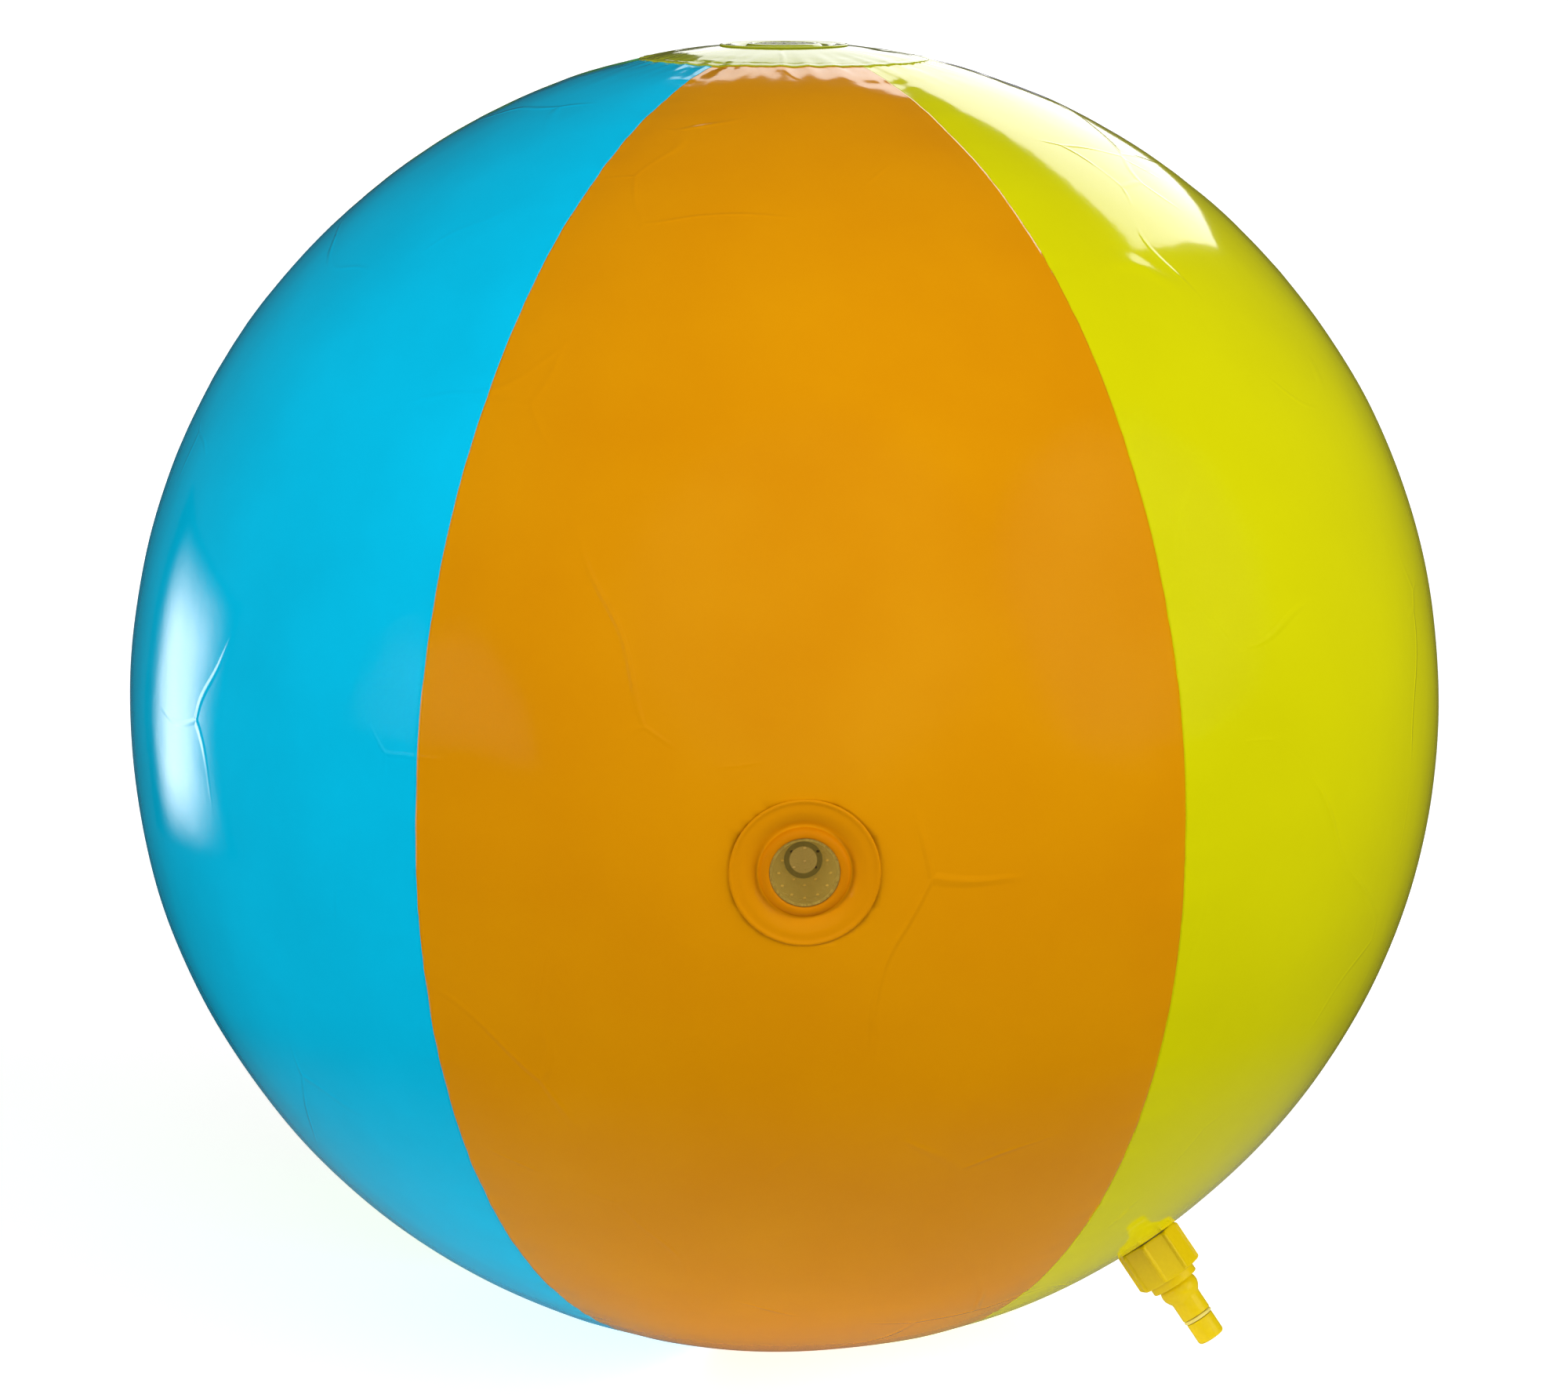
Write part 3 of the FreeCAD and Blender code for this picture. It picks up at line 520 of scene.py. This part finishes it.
def polar_cap(name, pole, hole_angle, node):
    """A disc lapped over the gore tips, with a welded band just inside its rim."""
    mesh_data = bmesh.new()
    first = Vector((0, math.sin(hole_angle), pole * math.cos(hole_angle)))
    start = mesh_data.verts.new(CENTRE + first * RADIUS)
    sweep(mesh_data, [start], Vector((1, 0, 0)), [(-pole * (CAP_ANGLE - hole_angle), CAP_RINGS)])
    line = mesh_data.verts[:] + mesh_data.edges[:]
    bmesh.ops.spin(mesh_data, geom=line, cent=CENTRE, axis=(0, 0, 1), angle=math.tau, steps=CAP_STEPS,
                   use_merge=True)
    bmesh.ops.remove_doubles(mesh_data, verts=mesh_data.verts[:], dist=1e-6)
    for vertex in mesh_data.verts:
        direction = (vertex.co - CENTRE).normalized()
        inset = (CAP_ANGLE - math.acos(min(1.0, abs(direction.z)))) * RADIUS
        weld = -WELD_DEPTH * math.exp(-((inset - WELD_INSET) / WELD_WIDTH) ** 2)
        vertex.co = CENTRE + direction * (RADIUS + CAP_LIFT + skin_relief(direction) + weld)
        vertex.co.z = max(vertex.co.z, 0.0)
    cap = finish_piece(name, mesh_data, [VINYL["cap"]], "ball", [node])
    thicken(cap, FILM)
    return cap


polar_cap("polar_cap_top", 1, (DISH_RADIUS - DISH_LAP) / RADIUS, "cap_top")
polar_cap("polar_cap_bottom", -1, CLOSED_POLE, "cap_bottom")


# ---------------------------------------------------------------- spray ports
LIP_EDGE = 20.7
DISH_STEPS = 160


def turned(profile, axis, reach, steps, shape=None):
    """Turn a closed outline of (radius, height) in millimetres about an axis from the ball's centre.

    shape takes a vertex's radius, angle and height in millimetres, and gives its new radius.
    """
    mesh_data = bmesh.new()
    corners = [mesh_data.verts.new((r * MM, 0, z * MM)) for r, z in profile]
    for first, second in zip(corners, corners[1:] + corners[:1]):
        mesh_data.edges.new((first, second))
    outline = mesh_data.verts[:] + mesh_data.edges[:]
    bmesh.ops.spin(mesh_data, geom=outline, cent=(0, 0, 0), axis=(0, 0, 1), angle=math.tau, steps=steps,
                   use_merge=True)
    bmesh.ops.remove_doubles(mesh_data, verts=mesh_data.verts[:], dist=1e-7)
    if shape:
        for vertex in mesh_data.verts:
            radius, angle = math.hypot(vertex.co.x, vertex.co.y), math.atan2(vertex.co.y, vertex.co.x)
            radius = shape(radius / MM, angle, vertex.co.z / MM) * MM
            vertex.co.x, vertex.co.y = radius * math.cos(angle), radius * math.sin(angle)
    bmesh.ops.transform(mesh_data, matrix=local_frame(axis, reach), verts=mesh_data.verts[:])
    return mesh_data


def skin_drop(radius):
    """How far the ball has curved away at a radius from an axis, both in millimetres."""
    return radius * radius / (2 * RADIUS / MM)


def port_dish(side):
    """The welded dish: a beaded outer weld, a shallow slope, a groove and a full round lip."""
    edge = DISH_RADIUS / MM
    plate = PLATE_RADIUS / MM
    rim = CAP_LIFT / MM - skin_drop(edge)
    profile = [
        (edge, rim + 0.05), (edge + 0.1, rim + 0.45), (edge - 0.5, rim + 0.95), (edge - 1.3, rim + 1.0),
        (edge - 2.1, rim + 0.6), (edge - 3.2, rim + 0.5), (28.0, -0.35), (25.5, -0.95), (23.6, -1.6),
        (22.3, -2.5), (21.2, -3.0), (20.4, -2.5), (20.0, -1.3), (19.3, -0.5), (18.3, -0.05), (17.3, 0.1),
        (16.6, 0.05), (plate + 0.6, -0.1), (plate + 0.25, -0.35), (plate + 0.1, -0.9), (plate + 0.1, -8.0),
        (plate + 1.4, -8.0), (plate + 1.5, -4.2), (21.2, -3.8), (23.6, -2.5), (28.0, -1.2),
        (30.5, rim - 0.05),
    ]
    mesh_data = turned(profile, PORT_AXES[side], RADIUS, DISH_STEPS)
    axis = PORT_AXES[side]
    colour = DISH_COLOUR[side]
    # Faces inside the lip's edge take the darker lip vinyl, which is painted shade.
    for face in mesh_data.faces:
        ray = face.calc_center_median() - CENTRE
        across = (ray - axis * ray.dot(axis)).length / MM
        face.material_index = 1 if across < LIP_EDGE else 0
    dish = finish_piece(f"dish_{side}", mesh_data, [DISH_PAINTED_SHADE[colour], LIP_PAINTED_SHADE[colour]], "ball", [f"port_dish_{side}"])
    rounding = dish.modifiers.new("rounding", "SUBSURF")
    rounding.levels = 1
    rounding.render_levels = 1
    return dish


for side_name in SIDES:
    port_dish(side_name)


# ---------------------------------------------------------------- hose adaptor
# Heights run outward from the skin along the inlet's axis, in millimetres.
NUT_BOTTOM, NUT_TOP = 0.4, 23.5
NUT_FLATS, NUT_SIDES, RIB_RADIUS = 33.6, 8, 1.3
NUT_TURN, RIB_INSET = math.radians(27.5), 0.4
BLANK_RADIUS, FLANK_SHARE = 19.2, 0.12
THREAD_PITCH, THREAD_START, THREAD_TURNS = 2.209, 1.05, 6
THREAD_RUN_OUT, GROOVE_HALF_WIDTH, GROOVE_FLANK = 0.4, 0.79, 0.29
CAVITY_RADIUS, GROOVE_RADIUS = 12.5, 13.4
CAVITY_LOW, CAVITY_SEAT = 3.5, 16.7
SEAL_HEIGHT, NIPPLE_TIP = 49.0, 62.5
CAVITY_RINGS, ADAPTOR_STEPS = 56, 360


def nut_edge(angle):
    """Distance from the axis to the octagon's wall, or to the bead that runs up each of its corners."""
    side = math.tau / NUT_SIDES
    from_corner = abs((angle - NUT_TURN + side / 2) % side - side / 2)
    wall = NUT_FLATS / 2 / math.cos(side / 2 - from_corner)
    bead_middle = NUT_FLATS / 2 / math.cos(side / 2) - RIB_INSET * RIB_RADIUS
    miss = bead_middle * math.sin(from_corner)
    if miss >= RIB_RADIUS:
        return wall
    return max(wall, bead_middle * math.cos(from_corner) + math.sqrt(RIB_RADIUS ** 2 - miss ** 2))


def adaptor_shape(radius, angle, height):
    """Press the turned blank into a ribbed octagon, and cut the hose thread into its cavity."""
    if radius > 15 and NUT_BOTTOM - 0.1 <= height <= NUT_TOP + 0.1:
        return min(radius, nut_edge(angle) - FLANK_SHARE * (BLANK_RADIUS - radius))
    if abs(radius - CAVITY_RADIUS) < 0.1 and CAVITY_LOW < height < CAVITY_SEAT:
        turns = (height - THREAD_START) / THREAD_PITCH - (angle % math.tau) / math.tau
        if -THREAD_RUN_OUT < turns < THREAD_TURNS + THREAD_RUN_OUT:
            off_groove = abs(turns - round(turns)) * THREAD_PITCH
            depth = min(1.0, max(0.0, (GROOVE_HALF_WIDTH - off_groove) / GROOVE_FLANK))
            return radius + depth * (GROOVE_RADIUS - CAVITY_RADIUS)
    return radius


def hose_adaptor():
    """One yellow moulding: the nut, a plain ring, a domed collar and the stem for a hose connector."""
    low, top, seal, tip = NUT_BOTTOM, NUT_TOP, SEAL_HEIGHT, NIPPLE_TIP
    outside = [
        (13.7, low + 0.15), (13.9, low), (16.3, low), (17.2, low + 0.2), (18.1, low + 0.7), (18.8, low + 1.3),
        (BLANK_RADIUS, low + 2.1), (BLANK_RADIUS, low + 4), (BLANK_RADIUS, (low + top) / 2),
        (BLANK_RADIUS, top - 4), (BLANK_RADIUS, top - 2.2),
        (18.9, top - 1.4), (18.3, top - 0.7), (17.4, top - 0.2), (16.4, top), (13.7, top), (13.35, top + 0.1),
        (13.2, top + 0.4), (13.2, top + 3.8), (13.1, top + 4.2), (12.8, top + 4.5), (12.3, top + 4.6),
        (10.3, top + 4.6), (9.9, top + 4.7), (9.8, top + 5.0), (10.1, top + 5.5), (10.4, top + 6.2),
        (10.6, top + 7.1), (10.65, top + 8.1), (10.6, top + 9.1), (10.4, top + 10.1), (10.0, top + 11.1),
        (9.5, top + 12.0), (8.95, top + 12.8), (8.5, top + 13.4), (8.27, top + 14.0), (8.2, top + 14.8),
    ]
    stem = [
        (8.2, seal - 1.6), (8.1, seal - 1.35), (7.9, seal - 1.3), (6.15, seal - 1.3),
        (6.15, seal + 1.3), (7.45, seal + 1.3), (7.6, seal + 1.4), (7.65, seal + 1.7),
        (7.65, tip - 1.8), (7.5, tip - 1.1), (7.15, tip - 0.55), (6.6, tip - 0.15),
        (6.0, tip), (4.3, tip), (3.8, tip - 0.2), (3.6, tip - 0.7),
        (3.6, CAVITY_SEAT + 0.3), (3.9, CAVITY_SEAT), (12.2, CAVITY_SEAT),
    ]
    cavity_top = CAVITY_SEAT - 0.3
    step = (cavity_top - CAVITY_LOW) / CAVITY_RINGS
    cavity = [(CAVITY_RADIUS, cavity_top - step * ring) for ring in range(CAVITY_RINGS + 1)]
    cavity += [(13.7, CAVITY_LOW - 1.1)]
    mesh_data = turned(outside + stem + cavity, INLET_AXIS, RADIUS, ADAPTOR_STEPS, shape=adaptor_shape)
    piece = finish_piece("hose_adaptor_moulding", mesh_data, [YELLOW_PLASTIC], "adaptor", ["hose_adaptor"])
    return piece


hose_adaptor()


# ---------------------------------------------------------------- air valve's strap
STRAP_HALF_WIDTH, STRAP_FILM = 1.7, 0.35


def valve_strap():
    """The bent strap of film between the stem's tab and the plug's tab, in the valve's millimetres."""
    path = [(8.4, 0.25), (9.2, 0.25), (9.9, 0.35), (10.6, 0.6), (11.0, 1.0), (11.15, 1.4), (11.0, 1.8),
            (10.6, 2.15), (9.9, 2.35), (9.2, 2.4), (8.4, 2.4)]
    mesh_data = bmesh.new()
    for side in (-STRAP_HALF_WIDTH, STRAP_HALF_WIDTH):
        for x, z in path:
            mesh_data.verts.new((x * MM, side * MM, z * MM))
    mesh_data.verts.ensure_lookup_table()
    count = len(path)
    for index in range(count - 1):
        corners = (index, index + 1, count + index + 1, count + index)
        mesh_data.faces.new([mesh_data.verts[corner] for corner in corners])
    bmesh.ops.subdivide_edges(mesh_data, edges=mesh_data.edges[:], cuts=1, use_grid_fill=True)
    bmesh.ops.recalc_face_normals(mesh_data, faces=mesh_data.faces[:])
    bmesh.ops.solidify(mesh_data, geom=mesh_data.faces[:], thickness=STRAP_FILM * MM)
    place = local_frame(VALVE_AXIS, RADIUS)
    bmesh.ops.transform(mesh_data, matrix=place, verts=mesh_data.verts[:])
    mesh = bpy.data.meshes.new("valve_strap")
    bmesh.ops.recalc_face_normals(mesh_data, faces=mesh_data.faces[:])
    mesh_data.to_mesh(mesh)
    mesh_data.free()
    mesh.materials.append(CLEAR_VINYL)
    strap = bpy.data.objects.new("valve_strap", mesh)
    bpy.context.scene.collection.objects.link(strap)
    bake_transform(strap)


valve_strap()

# ---------------------------------------------------------------- carried-over CAD nodes
NODE_FINISH = {
    "hub_manifold": HUB_PLASTIC, "inlet_flange": CLEAR_VINYL, "inlet_spigot": YELLOW_PLASTIC,
    "inlet_tube": tube_material("tube_inlet", INLET_AXIS), "hose_washer": BLACK_RUBBER,
    "stem_seal": PALE_RUBBER, "valve_flange": CLEAR_VINYL, "valve_stem": CLEAR_VINYL,
    "valve_plug": CLEAR_VINYL, "valve_flap": CLEAR_VINYL,
}
for side_name in SIDES:
    NODE_FINISH[f"spray_plate_{side_name}"] = CLEAR_PLATE[DISH_COLOUR[side_name]]
    NODE_FINISH[f"spray_cup_{side_name}"] = CLEAR_CUP[DISH_COLOUR[side_name]]
    NODE_FINISH[f"feed_tube_{side_name}"] = tube_material(f"tube_{side_name}", PORT_AXES[side_name])
for node_name, finish in NODE_FINISH.items():
    node = frame["nodes"][node_name]
    node.data.materials.clear()
    node.data.materials.append(finish)

# ---------------------------------------------------------------- floor, lights and camera
# The floor's and the lights' sizes are in metres, in the frame's coordinates.


def stage_quad(name, corners, material):
    """A flat part of the studio, which isn't part of the object."""
    mesh_data = bmesh.new()
    mesh_data.faces.new([mesh_data.verts.new(corner) for corner in corners])
    mesh = bpy.data.meshes.new(name)
    mesh_data.to_mesh(mesh)
    mesh_data.free()
    quad = bpy.data.objects.new(name, mesh)
    mesh.materials.append(material)
    bpy.context.scene.collection.objects.link(quad)
    return quad


FLOOR_SIZE = 60.0
TABLE_FADE = (0.55, 0.28)
TABLE_MIRRORED, TABLE_GLOW = 0.15, 0.5
BEYOND_DEPTH, BEYOND_WIDTH, BEYOND_SHARE = (0.9, 1.8), (0.9, 0.5), 0.4
SEEN_GLOW = 0.70
FLOOR_DARK, FLOOR_WHITE = (0.04, 0.04, 0.04), (0.86, 0.86, 0.86)


def absolute(tree, source):
    """A node that drops a number's sign."""
    node = tree.nodes.new("ShaderNodeMath")
    node.operation = "ABSOLUTE"
    link(tree, source, node.inputs[0])
    return node.outputs[0]


def place_parts(tree):
    """A place in the object's own coordinates: the whole vector, and its X, Y and Z sockets."""
    place = tree.nodes.new("ShaderNodeTexCoord").outputs["Object"]
    parts = tree.nodes.new("ShaderNodeSeparateXYZ")
    link(tree, place, parts.inputs[0])
    return place, parts.outputs


def floor_material():
    """White all over to look at, while only a small white table round the ball throws light back."""
    material, tree, shader = new_material("floor_white")
    place, parts = place_parts(tree)
    distance = tree.nodes.new("ShaderNodeVectorMath")
    distance.operation = "LENGTH"
    link(tree, place, distance.inputs[0])
    rays = tree.nodes.new("ShaderNodeLightPath")
    seen = rays.outputs["Is Camera Ray"]
    table = map_range(tree, distance.outputs["Value"], *TABLE_FADE, 0.0, 1.0, smooth=True)
    mirrored = map_range(tree, rays.outputs["Is Glossy Ray"], 0, 1, 1.0, TABLE_MIRRORED)
    table = combine(tree, "MULTIPLY", table, mirrored)
    far = map_range(tree, parts["Y"], *BEYOND_DEPTH, 0.0, BEYOND_SHARE, smooth=True)
    central = map_range(tree, absolute(tree, parts["X"]), *BEYOND_WIDTH, 0.0, 1.0, smooth=True)
    beyond = combine(tree, "MULTIPLY", far, central)
    bright = combine(tree, "MAXIMUM", combine(tree, "MAXIMUM", table, beyond), seen)
    link(tree, two_tones(tree, bright, FLOOR_DARK, FLOOR_WHITE), shader.inputs["Base Color"])
    shader.inputs["Roughness"].default_value = 0.9
    shader.inputs["Specular IOR Level"].default_value = 0.0
    shader.inputs["Emission Color"].default_value = (1, 1, 1, 1)
    lift = combine(tree, "MULTIPLY", table, map_range(tree, seen, 0, 1, TABLE_GLOW, 0.0))
    base = map_range(tree, seen, 0, 1, 0.0, SEEN_GLOW)
    link(tree, combine(tree, "ADD", lift, base), shader.inputs["Emission Strength"])
    return material


def glow_material(name):
    """A black panel that only glows, with the sockets of the place on it."""
    material, tree, shader = new_material(name)
    shader.inputs["Base Color"].default_value = (0, 0, 0, 1)
    shader.inputs["Specular IOR Level"].default_value = 0.0
    shader.inputs["Emission Color"].default_value = (1, 1, 1, 1)
    return material, tree, shader, place_parts(tree)[1]


def softbox_material():
    """The softbox behind the ball is brighter towards its right end."""
    material, tree, shader, parts = glow_material("softbox_glow")
    strength = map_range(tree, parts["X"], *SOFTBOX_FADE, *SOFTBOX_STRENGTH)
    link(tree, strength, shader.inputs["Emission Strength"])
    return material


def strip_material():
    """The upright strip light fades towards its edges."""
    material, tree, shader, parts = glow_material("strip_glow")
    near_y, far_y = STRIP_Y - STRIP_HALF_WIDTH, STRIP_Y + STRIP_HALF_WIDTH
    low_z, high_z = STRIP_Z - STRIP_HALF_HEIGHT, STRIP_Z + STRIP_HALF_HEIGHT
    side = absolute(tree, map_range(tree, parts["Y"], near_y, far_y, -1, 1))
    rise = absolute(tree, map_range(tree, parts["Z"], low_z, high_z, -1, 1))
    across = map_range(tree, side, 1.0, 0.1, 0.0, 1.0, smooth=True)
    along = map_range(tree, rise, 1.0, 0.4, 0.0, STRIP_STRENGTH, smooth=True)
    link(tree, combine(tree, "MULTIPLY", across, along), shader.inputs["Emission Strength"])
    return material


stage_quad("floor", [(x * FLOOR_SIZE, y * FLOOR_SIZE, 0) for x, y in ((-1, -1), (1, -1), (1, 1), (-1, 1))],
           floor_material())
SOFTBOX_Y = 2.0
SOFTBOX_FADE, SOFTBOX_STRENGTH = (-0.18, 0.9), (1.6, 2.7)
SOFTBOX_OUTLINE = [(-0.12, 0.85), (0.76, 0.87), (1.58, 1.45), (2.6, 3.23), (0.5, 2.08), (-0.3, 2.08),
                   (-0.3, 1.92), (-0.12, 1.72)]
softbox = stage_quad("rear_softbox", [(x, SOFTBOX_Y, z) for x, z in SOFTBOX_OUTLINE], softbox_material())
STRIP_Y, STRIP_HALF_WIDTH = 0.34, 0.24
STRIP_Z, STRIP_HALF_HEIGHT = 0.25, 0.26
STRIP_STRENGTH = 4.4
STRIP_CORNERS = [(-0.88, 0.66, 0.0), (-1.1, 0.08, 0.0), (-1.1, 0.08, 0.52), (-0.88, 0.66, 0.52)]
strip = stage_quad("left_strip", STRIP_CORNERS, strip_material())
for light_panel in (softbox, strip):
    light_panel.visible_camera = False
    light_panel.visible_diffuse = False


def sun(name, azimuth, elevation, strength, softness):
    """A broad light from an azimuth counted from the front towards +X, and an elevation."""
    lamp = bpy.data.lights.new(name, "SUN")
    lamp.energy = strength
    lamp.angle = math.radians(softness)
    side, up = math.radians(azimuth), math.radians(elevation)
    toward = Vector((math.sin(side) * math.cos(up), -math.cos(side) * math.cos(up), math.sin(up)))
    thing = bpy.data.objects.new(name, lamp)
    thing.rotation_euler = toward.to_track_quat("Z", "Y").to_euler()
    thing.visible_glossy = False
    bpy.context.scene.collection.objects.link(thing)


sun("left_key", -60, 0, 3.95, 34)
sun("right_key", 66, 20, 2.7, 50)
sun("front_fill", 4, 30, 0.74, 60)

# The world is white to the camera, dim to what lights the ball, and near black in its gloss.
WORLD_LIGHT, WORLD_MIRRORED = 0.18, 0.03
world = bpy.data.worlds.new("studio")
world.use_nodes = True
bpy.context.scene.world = world
world.cycles.sampling_method = "NONE"
world_tree = world.node_tree
world_rays = world_tree.nodes.new("ShaderNodeLightPath")
unseen = map_range(world_tree, world_rays.outputs["Is Glossy Ray"], 0, 1, WORLD_LIGHT, WORLD_MIRRORED)
brightest = combine(world_tree, "MAXIMUM", unseen, world_rays.outputs["Is Camera Ray"])
backdrop = world_tree.nodes["Background"]
backdrop.inputs["Color"].default_value = (1, 1, 1, 1)
link(world_tree, brightest, backdrop.inputs["Strength"])
bpy.context.scene.view_settings.view_transform = "Standard"

CAMERA_AZIMUTH = math.radians(-1.5)
CAMERA_ELEVATION = math.radians(14.3)
CAMERA_DISTANCE = 5.0 * RADIUS
SENSOR_WIDTH = 36.0
BALL_SHARE = 0.835  # of the picture's width
camera_data = bpy.data.cameras.new("camera")
camera = bpy.data.objects.new("camera", camera_data)
back = Vector((math.sin(CAMERA_AZIMUTH) * math.cos(CAMERA_ELEVATION),
               -math.cos(CAMERA_AZIMUTH) * math.cos(CAMERA_ELEVATION), math.sin(CAMERA_ELEVATION)))
camera.location = CENTRE + back * CAMERA_DISTANCE
camera.rotation_euler = back.to_track_quat("Z", "Y").to_euler()
half_angle = math.asin(RADIUS / CAMERA_DISTANCE)
camera_data.sensor_width = SENSOR_WIDTH
camera_data.lens = BALL_SHARE * SENSOR_WIDTH / 2 / math.tan(half_angle)
bpy.context.scene.collection.objects.link(camera)
bpy.context.scene.camera = camera
